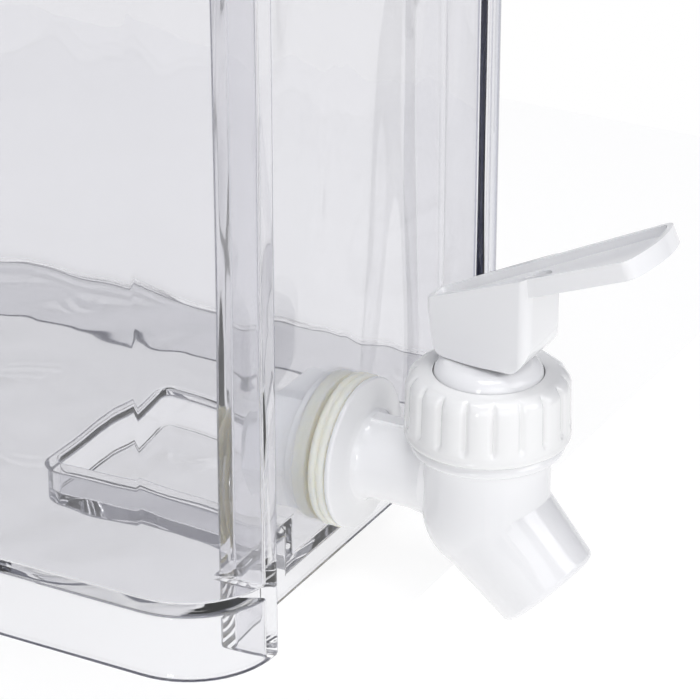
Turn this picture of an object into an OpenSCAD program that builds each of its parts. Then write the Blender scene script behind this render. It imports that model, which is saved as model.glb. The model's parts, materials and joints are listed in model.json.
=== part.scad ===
// Clear rectangular drink dispenser with a white push-lever tap.
// +Z is up, the tap points to -Y and X runs across the front. Millimetres.
// Z = 0 is the bearing face of the foot rim. Y = 0 is the middle of the front wall's thickness.

/* [Tub] */
// Outer width of the tub
tub_w = 129; // [100:1:180]
// Outer length, from the front lobes to the rear wall
tub_l = 230; // [160:1:340]
// Height of the tub to the top of its rim
tub_h = 186; // [140:1:260]
// Wall thickness
wall = 2.5; // [1.8:0.1:4]
// Radius of the four upright corners
corner_r = 19; // [8:0.5:30]
// How far the rim bead stands out of the wall
rim_w = 1.6; // [0.8:0.1:3]
// Height of the rim bead
rim_t = 3.2; // [2:0.2:6]

/* [Front recess] */
// Width of the recess between the two front lobes
recess_w = 88; // [60:1:110]
// Depth of the recess
recess_d = 9.6; // [5:0.2:20]

/* [Floor and foot] */
// Height of the drinking floor above the table
floor_z = 16.5; // [10:0.5:30]
// Thickness of the floor
floor_t = 2.5; // [1.8:0.1:4]
// Width of the drain sump at the tap
sump_w = 40; // [34:1:60]
// Length of the sump, back from the outside of the front wall
sump_l = 57; // [30:1:90]
// Depth of the sump below the floor
sump_d = 8.9; // [4:0.1:11]

/* [Lid] */
// Thickness of the lid plate
lid_t = 2.4; // [1.6:0.1:4]
// Depth of the lid's outer skirt below the rim top
lid_skirt = 6.5; // [4:0.5:12]
// Depth of the lid's inner plug below the rim top
lid_plug = 9; // [6:0.5:16]
// Inner radius of the filler opening
fill_r = 22; // [14:0.5:30]
// Distance of the filler opening behind the front wall
fill_y = 66; // [50:1:150]

/* [Tap] */
// Height of the tap's axis above the table
tap_z = 23.6; // [20:0.1:40]
// Distance from the front wall to the upright valve axis
tap_reach = 32.7; // [28:0.1:50]
// Outer diameter of the threaded shank
shank_d = 16; // [12:0.5:22]
// Diameter of the flange
flange_d = 31.8; // [26:0.2:40]
// Radius of the level tube between the flange and the valve body
tube_r = 8.7; // [7:0.1:11]
// Thickness of the outer sealing washer
washer_t = 3.8; // [2:0.1:5]
// Outer radius of the valve body
valve_r = 12.9; // [11:0.1:16]
// Height of the point where the spout leaves the valve axis
elbow_z = 18.1; // [16:0.1:26]
// Length of the spout from the valve axis to its mouth
spout_l = 21; // [16:0.5:32]
// Inner radius of the spout
spout_bore_r = 8.7; // [6:0.1:10]
// Bottom of the bonnet ring
ring_z = 34.8; // [32:0.1:40]
// Top of the bonnet ring
ring_top = 48.7; // [44:0.1:54]
// Number of grip grooves round the bonnet ring
grooves = 18; // [12:1:28]
// Top of the bonnet, where the lever rests
bonnet_top = 51.2; // [50:0.1:58]

/* [Lever] */
// Upward tilt of the paddle at rest, in degrees
paddle_tilt = 24; // [0:0.1:35]
// Height of the paddle's top plane above the bonnet, at the valve axis
paddle_up = 17.4; // [14:0.1:24]
// Length of the paddle along its slope
paddle_l = 53; // [35:0.5:70]
// Length of the part of the paddle behind the valve axis
paddle_back = 13.9; // [8:0.1:20]
// Half width of the paddle at its rear end
rear_hw = 3.4; // [3:0.1:8]
// Half width of the paddle at its tip
tip_hw = 10.7; // [8:0.1:14]
// Depth of the paddle's side rim
paddle_t = 3.8; // [3:0.1:6]
// Distance from the valve axis to the front of the lever's block
block_front = 12; // [9:0.1:15]
// Height of the lever pin above the bonnet
pin_up = 5.6; // [4:0.1:8]
// Radius of the lever pin
pin_r = 1.5; // [1:0.05:2.5]

/* [Hidden] */
$fn = 96;
face_y = -wall / 2;
front_y = face_y - recess_d;
inner_y = face_y + wall;
mid_y = front_y + tub_l / 2;
sump_z = floor_z - sump_d;
valve_y = face_y - tap_reach;
shank_r = shank_d / 2;
hole_r = shank_r + 0.4;
nut_z0 = wall + 3;
nut_t = 8;
shank_in = nut_z0 + nut_t + 3.5;
chamber_r = 10.3;
web_z = 13.2;
chamber_z = 15.6;
seat_z = 16.6;
neck_top = 44;
neck_r = 13.4;
stem_r = 3.2;
slide_gap = 0.08;
spring_top = 45.4;
seal_z = 48;
dish_d = 1.9;
pin_z = bonnet_top + pin_up;
collar_z = 29;
lever_z = bonnet_top + 0.25;
lid_top = tub_h + lid_t;
lid_out = rim_w + 0.35 + 1.8;
plug_in = wall + 0.6;
collar_h = 3;
hinge_y = fill_y + fill_r + 8.5;
hinge_z = lid_top + collar_h + 1.1;
hinge_r = 1.25;

// ---- shared shapes ----

function arc(cx, cy, r, a0, a1, n) =
    [for (i = [0:n]) [cx + r * cos(a0 + (a1 - a0) * i / n), cy + r * sin(a0 + (a1 - a0) * i / n)]];

// A thread's side view as ridges, from z0 up, between a root and a crest radius
function ridges(root, crest, z0, pitch, n) =
    [for (i = [0:n - 1]) each [[root, z0 + pitch * i], [crest, z0 + pitch * (i + 0.3)],
                               [crest, z0 + pitch * (i + 0.5)], [root, z0 + pitch * (i + 0.8)]]];

module round_rect(w, l, r) {
    square([w - 2 * r, l], center = true);
    square([w, l - 2 * r], center = true);
    for (sx = [-1, 1])
        for (sy = [-1, 1])
            translate([sx * (w / 2 - r), sy * (l / 2 - r)])
                circle(r);
}

// Plan of the tub, moved inward by d (outward when d is negative)
module outline(d) {
    difference() {
        translate([0, mid_y])
            round_rect(tub_w - 2 * d, tub_l - 2 * d, corner_r - d);
        translate([-recess_w / 2 - d, front_y - 20])
            square([recess_w + 2 * d, recess_d + d + 20]);
    }
}

module band(outer, inner, z0, z1) {
    translate([0, 0, z0])
        linear_extrude(z1 - z0)
            difference() {
                outline(outer);
                outline(inner);
            }
}

// Plan of the sump, grown by g; its front end runs into the front wall
module sump_plan(g) {
    r = 2.8 + g;
    hw = sump_w / 2 + g;
    back = face_y + sump_l + g;
    front = g > 0 ? face_y + wall / 2 : inner_y;
    translate([-hw, front])
        square([2 * hw, back - r - front]);
    translate([-hw + r, back - r - 1])
        square([2 * hw - 2 * r, r + 1]);
    for (s = [-1, 1])
        translate([s * (hw - r), back - r])
            circle(r);
}

// Puts a shape drawn along +Z on the tap's level axis, with z = 0 at the front wall
module on_tap_axis() {
    translate([0, face_y, tap_z])
        rotate([90, 0, 0])
            children();
}

module on_valve_axis() {
    translate([0, valve_y, 0])
        children();
}

module on_spout_axis() {
    translate([0, valve_y, elbow_z])
        rotate([135, 0, 0])
            children();
}

module pipe(outer, inner, z0, z1) {
    translate([0, 0, z0])
        difference() {
            cylinder(h = z1 - z0, r = outer);
            translate([0, 0, -1])
                cylinder(h = z1 - z0 + 2, r = inner);
        }
}

// ---- tub ----

module container_body() {
    color([0.86, 0.89, 0.92, 0.35])
    difference() {
        union() {
            linear_extrude(tub_h)
                outline(0);
            translate([0, 0, tub_h - rim_t])
                linear_extrude(rim_t)
                    outline(-rim_w);
        }
        translate([0, 0, floor_z])
            linear_extrude(tub_h)
                outline(wall);
        translate([0, 0, -1])
            linear_extrude(floor_z - floor_t + 1)
                difference() {
                    outline(wall);
                    sump_plan(wall);
                }
        translate([0, 0, -1])
            linear_extrude(sump_z - floor_t + 1)
                outline(wall);
        translate([0, 0, sump_z])
            linear_extrude(sump_d + 1)
                sump_plan(0);
        on_tap_axis()
            translate([0, 0, -wall - 1])
                cylinder(h = wall + 2, r = hole_r);
    }
}

// ---- lid ----

module lid() {
    color([0.95, 0.95, 0.94])
    difference() {
        union() {
            translate([0, 0, tub_h])
                linear_extrude(lid_t)
                    outline(-lid_out);
            band(-lid_out, -lid_out + 1.8, tub_h - lid_skirt, tub_h + 0.5);
            band(plug_in, plug_in + 2.4, tub_h - lid_plug, tub_h + 0.5);
            band(-1, 1.2, lid_top - 0.5, lid_top + 1.4);
            translate([0, fill_y, 0])
                pipe(fill_r + 2.4, fill_r, tub_h, lid_top + collar_h);
            for (s = [-1, 1])
                filler_ear(s);
        }
        band(plug_in - 1, plug_in + 1.2, tub_h - 7, tub_h - 4);
        translate([0, fill_y, tub_h - 1])
            cylinder(h = lid_t + collar_h + 2, r = fill_r);
        translate([-13, hinge_y, hinge_z])
            rotate([0, 90, 0])
                cylinder(h = 26, r = hinge_r);
    }
}

module filler_ear(s) {
    translate([s * 9.9 - 1.8, hinge_y, hinge_z])
        rotate([0, 90, 0])
            cylinder(h = 3.6, r = 2.8);
    translate([s * 9.9 - 1.8, hinge_y - 2.5, lid_top - 0.5])
        cube([3.6, 5, hinge_z - lid_top + 0.5]);
}

module lid_gasket() {
    color([0.88, 0.87, 0.83])
    union() {
        band(plug_in - 0.4, plug_in + 1.2, tub_h - 7, tub_h - 4);
    }
}

module filler_cap() {
    color([0.95, 0.95, 0.94])
    difference() {
        union() {
            translate([0, fill_y, lid_top + collar_h])
                rotate_extrude()
                    polygon(concat([[0, 0], [fill_r + 3.4, 0]],
                                   arc(fill_r + 2.8, 1.4, 0.8, 0, 90, 5), [[0, 2.2]]));
            translate([0, fill_y, 0])
                pipe(fill_r - 0.8, fill_r - 3, lid_top - 1, lid_top + collar_h + 0.5);
            translate([-7, fill_y - fill_r - 6.5, lid_top + collar_h])
                cube([14, 6, 2.2]);
            translate([-7.9, fill_y + fill_r, lid_top + collar_h])
                cube([15.8, 8.5, 2.2]);
            translate([-7.9, hinge_y, hinge_z])
                rotate([0, 90, 0])
                    cylinder(h = 15.8, r = 2.5);
        }
        translate([-13, hinge_y, hinge_z])
            rotate([0, 90, 0])
                cylinder(h = 26, r = hinge_r + 0.06);
        translate([0, fill_y, 0])
            pipe(fill_r, fill_r - 1.8, lid_top - 0.2, lid_top + 1.8);
    }
}

module filler_seal() {
    color([0.88, 0.87, 0.83])
    translate([0, fill_y, 0])
        pipe(fill_r - 0.3, fill_r - 1.8, lid_top - 0.2, lid_top + 1.8);
}

module filler_pin() {
    color([0.72, 0.73, 0.75])
    translate([-11.7, hinge_y, hinge_z])
        rotate([0, 90, 0])
            cylinder(h = 23.4, r = hinge_r);
}

// ---- tap ----

module tap_body() {
    color([0.96, 0.96, 0.95])
    difference() {
        union() {
            on_tap_axis()
                rotate_extrude()
                    polygon(concat(
                        [[0, -shank_in], [shank_r - 0.9, -shank_in]],
                        ridges(shank_r - 0.7, shank_r, -shank_in + 0.8, 2, 8),
                        [[shank_r, washer_t], [15.3, washer_t]],
                        arc(flange_d / 2 - 0.7, washer_t + 0.7, 0.7, -45, 70, 4),
                        [[13.4, washer_t + 1.75], [11, washer_t + 2.2], [9.7, washer_t + 2.7],
                         [9.0, washer_t + 3.6], [tube_r, washer_t + 5.2],
                         [tube_r, tap_reach - 15], [9.4, tap_reach - 11], [0, tap_reach - 2]]));
            on_valve_axis()
                rotate_extrude()
                    polygon(concat(
                        [[0, 30]],
                        arc(0, elbow_z, valve_r, -90, 0, 14),
                        [[valve_r, 31.2], [valve_r + 0.5, 31.8]],
                        arc(14.6, 33, 1, -60, 60, 5),
                        [[14.6, ring_z - 0.1], [neck_r - 0.6, ring_z - 0.1]],
                        ridges(neck_r - 0.6, neck_r, ring_z + 0.8, 2, 4),
                        [[neck_r - 0.6, neck_top], [0, neck_top]]));
            on_spout_axis()
                rotate_extrude()
                    polygon(concat([[0, 2], [12.5, 2]],
                                   arc(9.6, spout_l - 1.5, 1.5, 8, 90, 5),
                                   [[0, spout_l]]));
            translate([-1.6, valve_y + 8, tap_z])
                cube([3.2, tap_reach - washer_t - 11, tube_r + 0.5]);
        }
        on_tap_axis()
            translate([0, 0, -shank_in - 1])
                cylinder(h = shank_in + tap_reach + 1, r = 5);
        on_valve_axis() {
            translate([0, 0, seat_z])
                cylinder(h = 40, r = chamber_r);
            pipe(chamber_r, 6.8, chamber_z, seat_z + 0.5);
            translate([0, 0, web_z - 1])
                cylinder(h = 6, r = 5.2);
        }
        outlet_cavity();
    }
}

// The space below the seat: a ball-shaped elbow and the sloping spout bore
module outlet_cavity() {
    difference() {
        union() {
            translate([0, valve_y, elbow_z])
                sphere(valve_r - 2.4);
            on_spout_axis()
                cylinder(h = spout_l + 1, r = spout_bore_r);
        }
        translate([-20, valve_y - 30, web_z])
            cube([40, 50, 30]);
    }
}

module tap_outer_washer() {
    color([0.87, 0.85, 0.80])
    on_tap_axis()
        rotate_extrude()
            polygon(concat([[shank_r + 0.1, 0]],
                           arc(15.1, 1, 1, -90, 45, 4),
                           [[15.5, washer_t / 2]],
                           arc(15.1, washer_t - 1, 1, -45, 90, 4),
                           [[shank_r + 0.1, washer_t]]));
}

module tap_inner_washer() {
    color([0.87, 0.85, 0.80])
    on_tap_axis()
        pipe(15.6, shank_r + 0.1, -nut_z0, -wall);
}

module tap_lock_nut() {
    color([0.95, 0.95, 0.94])
    on_tap_axis()
        difference() {
            union() {
                translate([0, 0, -nut_z0 - nut_t])
                    cylinder(h = nut_t, r = 14.6, $fn = 6);
                translate([0, 0, -nut_z0 - 1.8])
                    cylinder(h = 1.8, r = 14.8);
            }
            translate([0, 0, -nut_z0 - nut_t - 1])
                cylinder(h = nut_t + 2, r = shank_r + 0.1);
        }
}

module bonnet_ring() {
    color([0.96, 0.96, 0.94])
    on_valve_axis()
        difference() {
            rotate_extrude()
                polygon(concat(
                    [[neck_r + 0.2, ring_z], [15.9, ring_z]],
                    arc(15.9, ring_z + 0.85, 0.85, -60, 30, 4),
                    [[16.7, ring_z + 3.2], [16.6, ring_z + 7]],
                    arc(13.8, ring_top - 2.8, 2.8, 0, 90, 6),
                    [[11.6, ring_top], [11.6, ring_top - 2.2], [neck_r + 0.2, ring_top - 2.2]]));
            for (i = [0:grooves - 1])
                rotate([0, 0, (i + 0.5) * 360 / grooves])
                    translate([16.9, 0, ring_z + 3.4])
                        cylinder(h = 20, r = 0.95, $fn = 24);
        }
}

module bonnet() {
    color([0.96, 0.96, 0.95])
    on_valve_axis()
        rotate_extrude()
            polygon(concat(
                [[6.6, neck_top + 1], [13.2, neck_top + 1], [13.2, ring_top - 2.2],
                 [11, ring_top - 2.2]],
                arc(8, bonnet_top - 3, 3, 0, 90, 8),
                [[stem_r + slide_gap, bonnet_top], [stem_r + slide_gap, seal_z + 1],
                 [5.1, seal_z + 1], [5.1, seal_z - 1], [stem_r + slide_gap, seal_z - 1],
                 [stem_r + slide_gap, spring_top], [6.6, spring_top]]));
}

module bonnet_gasket() {
    color([0.87, 0.85, 0.80])
    on_valve_axis()
        pipe(13.2, 10.5, neck_top, neck_top + 1);
}

module stem_seal() {
    color([0.30, 0.30, 0.31])
    on_valve_axis()
        translate([0, 0, seal_z])
            rotate_extrude()
                translate([4.15, 0])
                    circle(r = 0.86);
}

module valve_stem() {
    color([0.93, 0.93, 0.92])
    difference() {
        on_valve_axis()
            rotate_extrude()
                polygon(concat(
                    [[0, 19], [stem_r, 19], [stem_r, collar_z], [6.2, collar_z],
                     [6.2, collar_z + 2]],
                    [[stem_r, collar_z + 2], [stem_r, pin_z + 1.2]],
                    arc(stem_r - 1.6, pin_z + 1.6, 1.6, 0, 90, 5),
                    [[0, pin_z + 3.2]]));
        translate([-5, valve_y, pin_z])
            rotate([0, 90, 0])
                cylinder(h = 10, r = pin_r + 0.05);
    }
}

module seat_cup() {
    color([0.87, 0.85, 0.80])
    on_valve_axis()
        rotate_extrude()
            polygon([[0, seat_z + 0.05], [7.6, seat_z + 0.05], [8.2, seat_z + 1.2],
                     [7.4, seat_z + 3], [5.6, 24], [5.2, collar_z], [stem_r, collar_z],
                     [stem_r, 19], [0, 19]]);
}

// Compression spring swept as one closed tube
spring_r = 5.0;
spring_wire = 0.55;
spring_turns = 6;
spring_steps = 13;
spring_low = collar_z + 2.1 + spring_wire;
spring_high = spring_top - 0.1 - spring_wire;
spring_n = spring_turns * spring_steps;

function spring_ring(i, m) =
    let (t = i / spring_n, a = 360 * spring_turns * t)
    [for (j = [0:m - 1])
        let (b = 360 * j / m, rr = spring_r + spring_wire * cos(b))
        [rr * cos(a), rr * sin(a),
         spring_low + (spring_high - spring_low) * t + spring_wire * sin(b)]];

module return_spring() {
    m = 8;
    pts = [for (i = [0:spring_n]) each spring_ring(i, m)];
    sides = [for (i = [0:spring_n - 1], j = [0:m - 1])
             [i * m + j, i * m + (j + 1) % m, (i + 1) * m + (j + 1) % m, (i + 1) * m + j]];
    color([0.75, 0.76, 0.78])
    on_valve_axis()
        polyhedron(pts, concat(sides, [[for (j = [0:m - 1]) m - 1 - j]],
                               [[for (j = [0:m - 1]) spring_n * m + j]]), convexity = 6);
}

// ---- lever ----

// Plan of the paddle along +Y from its rear end, moved inward by d
module paddle_plan(d) {
    r0 = 2 - min(d, 1.2);
    r1 = 2.5 - min(d, 1.2);
    rt = 24 - d;
    x0 = rear_hw - d - r0;
    x1 = tip_hw - d - r1;
    yt = paddle_l - d - rt;
    bend = acos(x1 / (rt - r1));
    y1 = yt + (rt - r1) * sin(bend);
    polygon(concat(
        arc(x0, d + r0, r0, -90, -9, 6),
        arc(x1, y1, r1, -9, bend, 6),
        arc(0, yt, rt, bend, 180 - bend, 10),
        arc(-x1, y1, r1, 180 - bend, 189, 6),
        arc(-x0, d + r0, r0, 189, 270, 6)));
}

// Frame of the paddle: +Y runs up the slope from its rear end, z = 0 is its top plane
module on_paddle() {
    translate([0, valve_y, bonnet_top + paddle_up])
        rotate([0, 0, 180])
            rotate([paddle_tilt, 0, 0])
                translate([0, -paddle_back, 0])
                    children();
}

// The block as its side view, its plan and its front view cut into each other
module lever_block() {
    intersection() {
        translate([-15, valve_y, 0])
            rotate([90, 0, 90])
                linear_extrude(30)
                    polygon(concat(
                        [[-block_front, lever_z + 26]],
                        arc(8 - block_front, lever_z + 8, 8, 180, 270, 10),
                        arc(8.5, lever_z + 2.2, 2.2, 270, 348, 5),
                        [[12.6, lever_z + 11], [12.6, lever_z + 14]]));
        translate([0, valve_y, lever_z - 1])
            linear_extrude(30)
                polygon(concat(
                    arc(5.6, 2.1 - block_front, 2.1, -90, 10, 6),
                    arc(1.76, 11.05, 1.6, 9, 90, 4),
                    arc(-1.76, 11.05, 1.6, 90, 171, 4),
                    arc(-5.6, 2.1 - block_front, 2.1, 170, 270, 6)));
        translate([0, valve_y + 15, lever_z])
            rotate([90, 0, 0])
                linear_extrude(30)
                    polygon(concat(
                        arc(4.2, 3.6, 3.6, -90, 0, 6),
                        [[7.8, 26], [-7.8, 26]],
                        arc(-4.2, 3.6, 3.6, 180, 270, 6)));
        on_paddle()
            translate([-20, -10, -40])
                cube([40, 80, 39.98]);
    }
}

module lever() {
    color([0.96, 0.96, 0.95])
    difference() {
        union() {
            on_paddle()
                translate([0, 0, -paddle_t])
                    linear_extrude(paddle_t)
                        paddle_plan(0);
            lever_block();
        }
        on_paddle() {
            translate([0, 0, -dish_d])
                linear_extrude(dish_d + 10)
                    paddle_plan(1.2);
            translate([0, paddle_back + 9.5, -dish_d - 0.7])
                cylinder(h = 3, r = 3.6);
        }
        translate([-3.5, valve_y - 6.1, lever_z - 1])
            cube([7, 11, pin_up + 5.6]);
        translate([-4.4, valve_y, pin_z])
            rotate([0, 90, 0])
                cylinder(h = 20, r = pin_r);
    }
}

module lever_pin() {
    color([0.72, 0.73, 0.75])
    translate([-4.4, valve_y, pin_z])
        rotate([0, 90, 0])
            cylinder(h = 9.5, r = pin_r);
}

container_body();
lid();
lid_gasket();
filler_cap();
filler_seal();
filler_pin();
tap_body();
tap_outer_washer();
tap_inner_washer();
tap_lock_nut();
bonnet_ring();
bonnet();
bonnet_gasket();
stem_seal();
valve_stem();
seat_cup();
return_spring();
lever();
lever_pin();
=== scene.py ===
import json
import math

import bmesh
import bpy
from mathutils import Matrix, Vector

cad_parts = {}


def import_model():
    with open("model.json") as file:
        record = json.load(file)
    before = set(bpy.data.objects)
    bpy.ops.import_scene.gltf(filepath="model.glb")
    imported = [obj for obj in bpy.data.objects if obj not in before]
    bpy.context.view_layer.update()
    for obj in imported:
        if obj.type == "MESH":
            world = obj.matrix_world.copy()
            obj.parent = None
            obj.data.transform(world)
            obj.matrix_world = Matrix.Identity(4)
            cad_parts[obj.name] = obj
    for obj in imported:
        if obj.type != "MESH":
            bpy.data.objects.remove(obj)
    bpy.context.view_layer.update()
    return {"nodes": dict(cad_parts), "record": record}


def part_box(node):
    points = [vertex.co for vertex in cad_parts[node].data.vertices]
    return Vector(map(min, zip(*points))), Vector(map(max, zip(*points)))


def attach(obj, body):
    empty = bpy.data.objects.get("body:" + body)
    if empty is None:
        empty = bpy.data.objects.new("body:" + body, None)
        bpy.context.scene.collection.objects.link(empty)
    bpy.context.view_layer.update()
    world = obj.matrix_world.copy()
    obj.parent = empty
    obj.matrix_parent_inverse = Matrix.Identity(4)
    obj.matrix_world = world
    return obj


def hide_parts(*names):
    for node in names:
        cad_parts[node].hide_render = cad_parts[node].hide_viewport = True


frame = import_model()

MM = 0.001

# ---- the look of the clear moulding ----
CLEAR_IOR = 1.57
CLEAR_LIGHT, CLEAR_DARK = (0.889, 0.887, 0.905), (0.873, 0.872, 0.892)
CLEAR_TONE_SCALE, CLEAR_GLOSS_SCALE, CLEAR_ROUGH = 9.0, 30.0, 0.03
WALL_WAVE, WAVE_SCALE, WAVE_STRETCH = 2.2 * MM, 34.0, 0.3
# Painted shade: the navy colours below are painted into the clear body's edges and rims where it
# is seen edge-on
EDGE_FROM, EDGE_TO, EDGE_PAINTED_SHADE = 0.6, 0.85, (0.15, 0.17, 0.30)
RIM_FROM, RIM_TO, RIM_AMOUNT, RIM_PAINTED_SHADE = 0.76, 0.94, 0.8, (0.05, 0.055, 0.11)
RIM_ROUGH, RIM_SPECULAR = 0.15, 0.1
SHADOW_TINT = (0.93, 0.94, 0.95)

# ---- the look of the other plastics ----
PLASTIC_IOR = 1.5
TONE_SCALE, GLOSS_SCALE, SWELL_SCALE, GRAIN_SCALE = 38.0, 140.0, 70.0, 900.0
LID_GRAIN_SCALE = 260.0
GRAIN_HEIGHT, SWELL_HEIGHT = 0.004 * MM, 0.02 * MM
GLOSS_LOW, GLOSS_HIGH = 0.8, 1.25
PLASTIC_RADII, PLASTIC_DEPTH = (1.0, 0.95, 0.85), 1.2 * MM
# Painted glow: the silicone gets a faint cream emission, though it is no lamp
SILICONE_RADII, SILICONE_DEPTH, SILICONE_PAINTED_GLOW = (1.0, 0.9, 0.7), 5 * MM, 0.05

# ---- moulded edges, with the radius of each piece in millimetres ----
ROUNDED = {"container_body": 1.1, "tap_body": 0.5, "lever": 0.8, "tap_lock_nut": 0.3,
           "lid": 0.4, "filler_cap": 0.3, "bonnet": 0.3, "tap_inner_washer": 0.4,
           "tap_outer_washer": 0.3}
WELD = 0.002 * MM
FLAT_ANGLE, SHARP_ANGLE, ROUND_STEPS = math.radians(0.4), math.radians(28), 3

# ---- bonnet ring ----
RIBS, RIB_STEPS = 18, 20
GROOVE_DEPTH, GROOVE_WIDTH, RIB_BULGE = 1.1 * MM, 0.17, 0.45 * MM
BORE_RATIO, LIP_RATIO, LIP_DEPTH = 0.813, 0.668, 2.1 * MM
TOE, TOE_INSET, TOE_START, TOE_TURN, TOE_STEPS = 0.85 * MM, 1.0 * MM, -60, 25, 5
SHOULDER, SHOULDER_INSET, SHOULDER_TURN, SHOULDER_STEPS = 2.9 * MM, 0.2 * MM, 10, 9
RING_DRAFT = 0.02
# Height above the ring's foot in millimetres, and how much of the groove is cut there
GROOVE_RUN_IN = ((2.2, 0), (2.7, 0.15), (3.2, 0.7), (3.8, 1), (7.0, 1), (10.0, 1))
GROOVE_FADE_FROM, GROOVE_FADE_STEPS, GROOVE_END_STEP = 1.6, 5, 8
RING_SHARP_ANGLE = math.radians(50)

# ---- stage ----
SHELF_LIP, SHELF_DROP, FLOOR_FAR, FLOOR_RIGHT = 12 * MM, 60 * MM, 2.5, 0.25
FLOOR_GREY, FLOOR_GLOW, FLOOR_ROUGH = (0.2, 0.2, 0.2), 0.84, 0.9
# Each light: place, size and power, and the height of a strip
LIGHTS = {
    "key": ((0.1, -1.0, 0.65), 0.6, 4.0, None),
    "fill": ((-0.75, -0.62, 0.5), 0.7, 2.3, None),
    "strip": ((-1.1, -0.15, 0.2), 0.12, 2.4, 0.7),
    "top": ((-0.1, -0.1, 1.3), 0.5, 6.5, None),
}
BACKDROP = Vector((0.79, 0.44, -0.42))
BACKDROP_OUT, BACKDROP_IN = 0.78, 0.93
ROOM_DARK, WHITE = (0.17, 0.175, 0.21), (1, 1, 1)

# ---- camera, at the photograph's viewing angle ----
AZIMUTH, ELEVATION = math.radians(-61.36), math.radians(25.32)
CAMERA_AT = (-0.53368, -0.29412, 0.33374)
LENS, SENSOR, CLIP_NEAR, CLIP_FAR = 171.15, 36.0, 0.02, 20
BOUNCES, GLOSSY_BOUNCES = 24, 12


# ---- places, read from the CAD frame ----
def middle(node):
    lo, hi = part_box(node)
    return (lo + hi) / 2


valve = middle("bonnet")
ring_lo, ring_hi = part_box("bonnet_ring")
foot_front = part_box("container_body")[0].y


# ---- materials ----
def new_material(name):
    m = bpy.data.materials.new(name)
    m.use_nodes = True
    nt = m.node_tree
    return m, nt, nt.nodes["Principled BSDF"]


def noise(nt, scale, detail=3.0, stretch=None):
    place = nt.nodes.new("ShaderNodeTexCoord").outputs["Object"]
    if stretch is not None:
        tall = nt.nodes.new("ShaderNodeMapping")
        tall.inputs["Scale"].default_value = (1, 1, stretch)
        nt.links.new(place, tall.inputs["Vector"])
        place = tall.outputs["Vector"]
    n = nt.nodes.new("ShaderNodeTexNoise")
    n.inputs["Scale"].default_value = scale
    n.inputs["Detail"].default_value = detail
    n.inputs["Roughness"].default_value = 0.5
    nt.links.new(place, n.inputs["Vector"])
    return n.outputs["Fac"]


def spread(nt, value, low, high, lo_in=0.3, hi_in=0.7):
    r = nt.nodes.new("ShaderNodeMapRange")
    r.inputs["From Min"].default_value = lo_in
    r.inputs["From Max"].default_value = hi_in
    r.inputs["To Min"].default_value = low
    r.inputs["To Max"].default_value = high
    nt.links.new(value, r.inputs["Value"])
    return r.outputs["Result"]


def blend_colour(nt, value, a, b):
    m = nt.nodes.new("ShaderNodeMix")
    m.data_type = "RGBA"
    for socket, colour in ((m.inputs[6], a), (m.inputs[7], b)):
        if isinstance(colour, tuple):
            socket.default_value = (*colour, 1)
        else:
            nt.links.new(colour, socket)
    nt.links.new(value, m.inputs[0])
    return m.outputs[2]


def blend_shader(nt, value, a, b):
    m = nt.nodes.new("ShaderNodeMixShader")
    for socket, source in zip(m.inputs, (value, a, b)):
        nt.links.new(source, socket)
    return m.outputs[0]


def bump(nt, bsdf, height, distance, after=None):
    b = nt.nodes.new("ShaderNodeBump")
    b.inputs["Strength"].default_value = 1.0
    b.inputs["Distance"].default_value = distance
    nt.links.new(height, b.inputs["Height"])
    if after is not None:
        nt.links.new(after, b.inputs["Normal"])
    nt.links.new(b.outputs["Normal"], bsdf.inputs["Normal"])
    return b.outputs["Normal"]


def plastic(name, light, dark, rough, sss=0.0, grain=GRAIN_SCALE):
    m, nt, b = new_material(name)
    tone = spread(nt, noise(nt, TONE_SCALE, 2.0), 0, 1)
    nt.links.new(blend_colour(nt, tone, light, dark), b.inputs["Base Color"])
    gloss = spread(nt, noise(nt, GLOSS_SCALE), rough * GLOSS_LOW, rough * GLOSS_HIGH)
    nt.links.new(gloss, b.inputs["Roughness"])
    first = bump(nt, b, noise(nt, grain, 2.0), GRAIN_HEIGHT)
    bump(nt, b, noise(nt, SWELL_SCALE, 1.0), SWELL_HEIGHT, after=first)
    b.inputs["IOR"].default_value = PLASTIC_IOR
    b.inputs["Subsurface Weight"].default_value = sss
    b.inputs["Subsurface Radius"].default_value = PLASTIC_RADII
    b.inputs["Subsurface Scale"].default_value = PLASTIC_DEPTH
    return m


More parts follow.
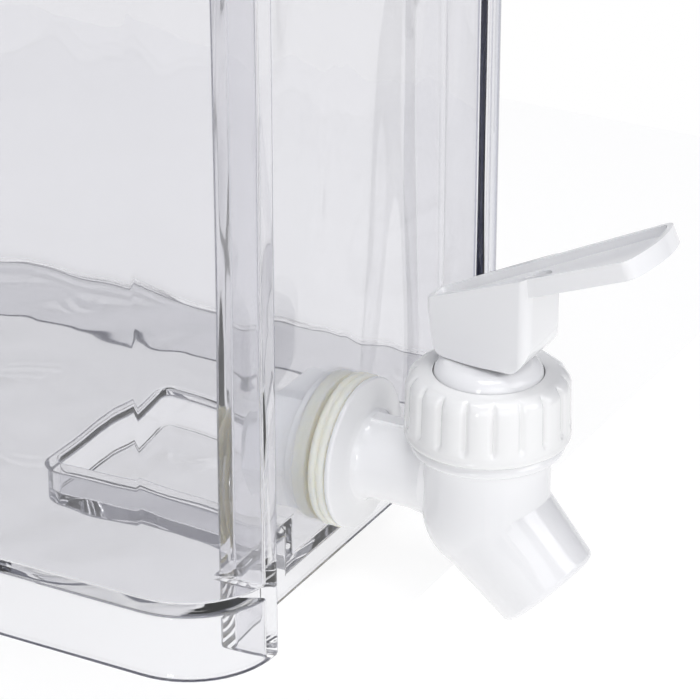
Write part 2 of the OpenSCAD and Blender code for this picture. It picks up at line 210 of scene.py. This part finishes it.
# Clear glass-like body with painted shade: where the surface is seen edge-on its colour is
# painted navy and a nearly opaque navy layer is mixed in, in place of the dark room seen through
# the edges. Shadow rays pass through it.
def clear_plastic(name):
    m, nt, b = new_material(name)
    b.inputs["Transmission Weight"].default_value = 1.0
    b.inputs["IOR"].default_value = CLEAR_IOR
    tone = spread(nt, noise(nt, CLEAR_TONE_SCALE, 1.0), 0, 1)
    body = blend_colour(nt, tone, CLEAR_LIGHT, CLEAR_DARK)
    weight = nt.nodes.new("ShaderNodeLayerWeight")
    weight.inputs["Blend"].default_value = 0.5
    facing = weight.outputs["Facing"]
    # Painted shade: the body's colour turns navy towards edge-on views
    edge = spread(nt, facing, 0, 1, EDGE_FROM, EDGE_TO)
    nt.links.new(blend_colour(nt, edge, body, EDGE_PAINTED_SHADE), b.inputs["Base Color"])
    gloss = spread(nt, noise(nt, CLEAR_GLOSS_SCALE), 0.0, CLEAR_ROUGH)
    nt.links.new(gloss, b.inputs["Roughness"])
    bump(nt, b, noise(nt, WAVE_SCALE, 1.0, WAVE_STRETCH), WALL_WAVE)
    # Painted shade: a nearly opaque navy layer mixed in at the most edge-on views
    rim = nt.nodes.new("ShaderNodeBsdfPrincipled")
    rim.inputs["Base Color"].default_value = (*RIM_PAINTED_SHADE, 1)
    rim.inputs["Roughness"].default_value = RIM_ROUGH
    rim.inputs["Specular IOR Level"].default_value = RIM_SPECULAR
    amount = spread(nt, facing, 0, RIM_AMOUNT, RIM_FROM, RIM_TO)
    with_painted_rim = blend_shader(nt, amount, b.outputs[0], rim.outputs[0])
    through = nt.nodes.new("ShaderNodeBsdfTransparent")
    through.inputs["Color"].default_value = (*SHADOW_TINT, 1)
    shadow = nt.nodes.new("ShaderNodeLightPath").outputs["Is Shadow Ray"]
    both = blend_shader(nt, shadow, with_painted_rim, through.outputs[0])
    nt.links.new(both, nt.nodes["Material Output"].inputs["Surface"])
    return m


def translucent_with_painted_glow(name, light, dark, rough):
    m = plastic(name, light, dark, rough, sss=1.0)
    b = m.node_tree.nodes["Principled BSDF"]
    b.inputs["Subsurface Radius"].default_value = SILICONE_RADII
    b.inputs["Subsurface Scale"].default_value = SILICONE_DEPTH
    # Painted glow: a faint emission in the washers' own cream colour, standing in for light
    # through the silicone
    b.inputs["Emission Color"].default_value = (*light, 1)
    b.inputs["Emission Strength"].default_value = SILICONE_PAINTED_GLOW
    return m


FINISH = {
    "tub_clear": clear_plastic("clear_moulding"),
    "tap_white": plastic("tap_white_plastic", (0.90, 0.90, 0.905), (0.875, 0.875, 0.885), 0.1),
    "ring_white": plastic("ring_milky_plastic", (0.90, 0.90, 0.895), (0.875, 0.875, 0.87), 0.12),
    "lid_white": plastic("lid_white_plastic", (0.85, 0.85, 0.85), (0.82, 0.82, 0.83), 0.3,
                         grain=LID_GRAIN_SCALE),
    "silicone": translucent_with_painted_glow("cream_silicone", (0.96, 0.91, 0.77), (0.94, 0.88, 0.73), 0.38),
    "seal_dark": plastic("black_seal", (0.03, 0.03, 0.032), (0.02, 0.02, 0.02), 0.45),
    "steel": plastic("pin_steel", (0.62, 0.63, 0.65), (0.55, 0.56, 0.58), 0.25),
}
FINISH["steel"].node_tree.nodes["Principled BSDF"].inputs["Metallic"].default_value = 1.0

slot_of = {s["node"]: s["material_slot"] for s in frame["record"]["subparts"]}
body_of = {n: b for b, ns in frame["record"]["behaviour"]["bodies"].items() for n in ns}

for node, obj in frame["nodes"].items():
    obj.data.materials.clear()
    obj.data.materials.append(FINISH[slot_of[node]])


def new_object(name, data):
    ob = bpy.data.objects.new(name, data)
    bpy.context.scene.collection.objects.link(ob)
    return ob


# Put a finished mesh in the place of a CAD node, on the same body and slot
def take_place(name, bm, node):
    me = bpy.data.meshes.new(name)
    bm.to_mesh(me)
    bm.free()
    for p in me.polygons:
        p.use_smooth = True
    ob = new_object(name, me)
    me.materials.append(FINISH[slot_of[node]])
    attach(ob, body_of[node])
    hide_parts(node)
    return ob


# ---- CAD pieces with moulded, rounded edges ----
def soften(node, width):
    bm = bmesh.new()
    bm.from_mesh(frame["nodes"][node].data)
    bmesh.ops.remove_doubles(bm, verts=bm.verts, dist=WELD)
    bmesh.ops.dissolve_limit(bm, angle_limit=FLAT_ANGLE, verts=bm.verts, edges=bm.edges)
    sharp = [e for e in bm.edges
             if len(e.link_faces) == 2 and e.calc_face_angle(0) > SHARP_ANGLE]
    bmesh.ops.bevel(bm, geom=sharp, offset=width, offset_type="OFFSET", segments=ROUND_STEPS,
                    profile=0.5, affect="EDGES", clamp_overlap=True)
    bmesh.ops.remove_doubles(bm, verts=bm.verts, dist=WELD)
    ob = take_place(node + "_moulded", bm, node)
    ob.modifiers.new("even_shading", "WEIGHTED_NORMAL").keep_sharp = True


for node, width in ROUNDED.items():
    soften(node, width * MM)


# ---- bonnet ring: a lathed ring with rounded grip ribs ----
# Rows of radius, height and share of the groove, from the bore's foot round to its top
def ring_profile():
    lo, hi = ring_lo.z, ring_hi.z
    outer = (ring_hi.x - ring_lo.x) / 2
    bore = BORE_RATIO * outer
    rows = [(bore, lo, 0), (outer - TOE_INSET, lo, 0)]
    for i in range(TOE_STEPS):
        a = math.radians(TOE_START + TOE_TURN * i)
        rows.append((outer - TOE + TOE * math.cos(a), lo + TOE * (1 + math.sin(a)), 0))
    for up, depth in GROOVE_RUN_IN:
        rows.append((outer - RING_DRAFT * up * MM, lo + up * MM, depth))
    for i in range(1, SHOULDER_STEPS + 1):
        a = math.radians(SHOULDER_TURN * i)
        fade = min(1.0, GROOVE_FADE_FROM - i / GROOVE_FADE_STEPS) if i < GROOVE_END_STEP else 0
        rows.append((outer - SHOULDER_INSET - SHOULDER * (1 - math.cos(a)),
                     hi - SHOULDER * (1 - math.sin(a)), fade))
    lip = LIP_RATIO * outer
    return rows + [(lip, hi, 0), (lip, hi - LIP_DEPTH, 0), (bore, hi - LIP_DEPTH, 0)]


# How far the surface lies inside the ring's radius: a groove between bulging ribs
def rib(step):
    t = (step % RIB_STEPS) / RIB_STEPS
    off = min(t, 1 - t) * 2
    groove = math.exp(-(off / GROOVE_WIDTH) ** 2)
    return GROOVE_DEPTH * groove + RIB_BULGE * (1 - math.sin(off * math.pi / 2)) * (1 - groove)


def bonnet_ring():
    bm = bmesh.new()
    centre = (ring_lo + ring_hi) / 2
    steps = RIBS * RIB_STEPS
    rows = []
    for radius, z, depth in ring_profile():
        row = []
        for k in range(steps):
            a = 2 * math.pi * (k / steps) + math.pi / RIBS
            r = radius - depth * rib(k)
            row.append(bm.verts.new((centre.x + r * math.cos(a), centre.y + r * math.sin(a), z)))
        rows.append(row)
    for i, row in enumerate(rows):
        above = rows[(i + 1) % len(rows)]
        for k in range(steps):
            n = (k + 1) % steps
            bm.faces.new([row[k], row[n], above[n], above[k]])
    bmesh.ops.recalc_face_normals(bm, faces=bm.faces)
    ob = take_place("bonnet_ring_ribbed", bm, "bonnet_ring")
    ob.data.set_sharp_from_angle(angle=RING_SHARP_ANGLE)


bonnet_ring()


# ---- stage: a shelf, since the spout hangs in front of the edge the tub stands on ----
def stage_material():
    m, _, b = new_material("pale_floor")
    b.inputs["Base Color"].default_value = (*FLOOR_GREY, 1)
    b.inputs["Roughness"].default_value = FLOOR_ROUGH
    b.inputs["Specular IOR Level"].default_value = 0.0
    b.inputs["Emission Color"].default_value = (*WHITE, 1)
    b.inputs["Emission Strength"].default_value = FLOOR_GLOW
    return m


# An upper shelf that ends on the right, its front edge, and a wider floor below and in front
def shelf():
    me = bpy.data.meshes.new("shelf")
    bm = bmesh.new()
    y0, drop = foot_front - SHELF_LIP, SHELF_DROP
    x0, x1, y1 = -FLOOR_FAR, FLOOR_RIGHT, FLOOR_FAR
    pts = [(x0, y0, 0), (x1, y0, 0), (x1, y1, 0), (x0, y1, 0),
           (x0, y0, -drop), (y1, y0, -drop), (y1, -y1, -drop), (x0, -y1, -drop),
           (x1, y0, -drop)]
    v = [bm.verts.new(p) for p in pts]
    bm.faces.new([v[0], v[1], v[2], v[3]])
    bm.faces.new([v[4], v[8], v[1], v[0]])
    bm.faces.new([v[7], v[6], v[5], v[8], v[4]])
    bm.to_mesh(me)
    bm.free()
    ob = new_object("shelf", me)
    me.materials.append(stage_material())


shelf()


def area(name, at, size, power, height):
    d = bpy.data.lights.new(name, "AREA")
    d.energy = power
    d.size = size
    if height:
        d.shape = "RECTANGLE"
        d.size_y = height
    o = new_object(name, d)
    o.location = at
    o.rotation_euler = (valve - Vector(at)).to_track_quat("-Z", "Y").to_euler()


for name, (at, size, power, height) in LIGHTS.items():
    area(name, at, size, power, height)


# White inside a cone round a fixed direction, a darker room elsewhere, white to the camera
def world():
    w = bpy.data.worlds.new("studio")
    bpy.context.scene.world = w
    w.use_nodes = True
    nt = w.node_tree
    bg = nt.nodes["Background"]
    coord = nt.nodes.new("ShaderNodeTexCoord")
    dot = nt.nodes.new("ShaderNodeVectorMath")
    dot.operation = "DOT_PRODUCT"
    dot.inputs[1].default_value = BACKDROP.normalized()
    nt.links.new(coord.outputs["Generated"], dot.inputs[0])
    ramp = nt.nodes.new("ShaderNodeValToRGB")
    dark, white = ramp.color_ramp.elements
    dark.position, dark.color = BACKDROP_OUT, (*ROOM_DARK, 1)
    white.position, white.color = BACKDROP_IN, (*WHITE, 1)
    nt.links.new(dot.outputs["Value"], ramp.inputs["Fac"])
    seen = nt.nodes.new("ShaderNodeLightPath").outputs["Is Camera Ray"]
    nt.links.new(blend_colour(nt, seen, ramp.outputs["Color"], WHITE), bg.inputs["Color"])
    bg.inputs["Strength"].default_value = 1.0


world()


def camera():
    data = bpy.data.cameras.new("camera")
    data.lens = LENS
    data.sensor_width = SENSOR
    data.clip_start, data.clip_end = CLIP_NEAR, CLIP_FAR
    cam = new_object("camera", data)
    level = math.cos(ELEVATION)
    back = Vector((math.sin(AZIMUTH) * level, -math.cos(AZIMUTH) * level, math.sin(ELEVATION)))
    cam.location = CAMERA_AT
    cam.rotation_mode = "QUATERNION"
    cam.rotation_quaternion = (-back).to_track_quat("-Z", "Y")
    bpy.context.scene.camera = cam


camera()

scene = bpy.context.scene
scene.view_settings.view_transform = "Standard"
scene.view_settings.look = "None"
scene.cycles.max_bounces = BOUNCES
scene.cycles.transmission_bounces = BOUNCES
scene.cycles.glossy_bounces = GLOSSY_BOUNCES
scene.cycles.use_denoising = True
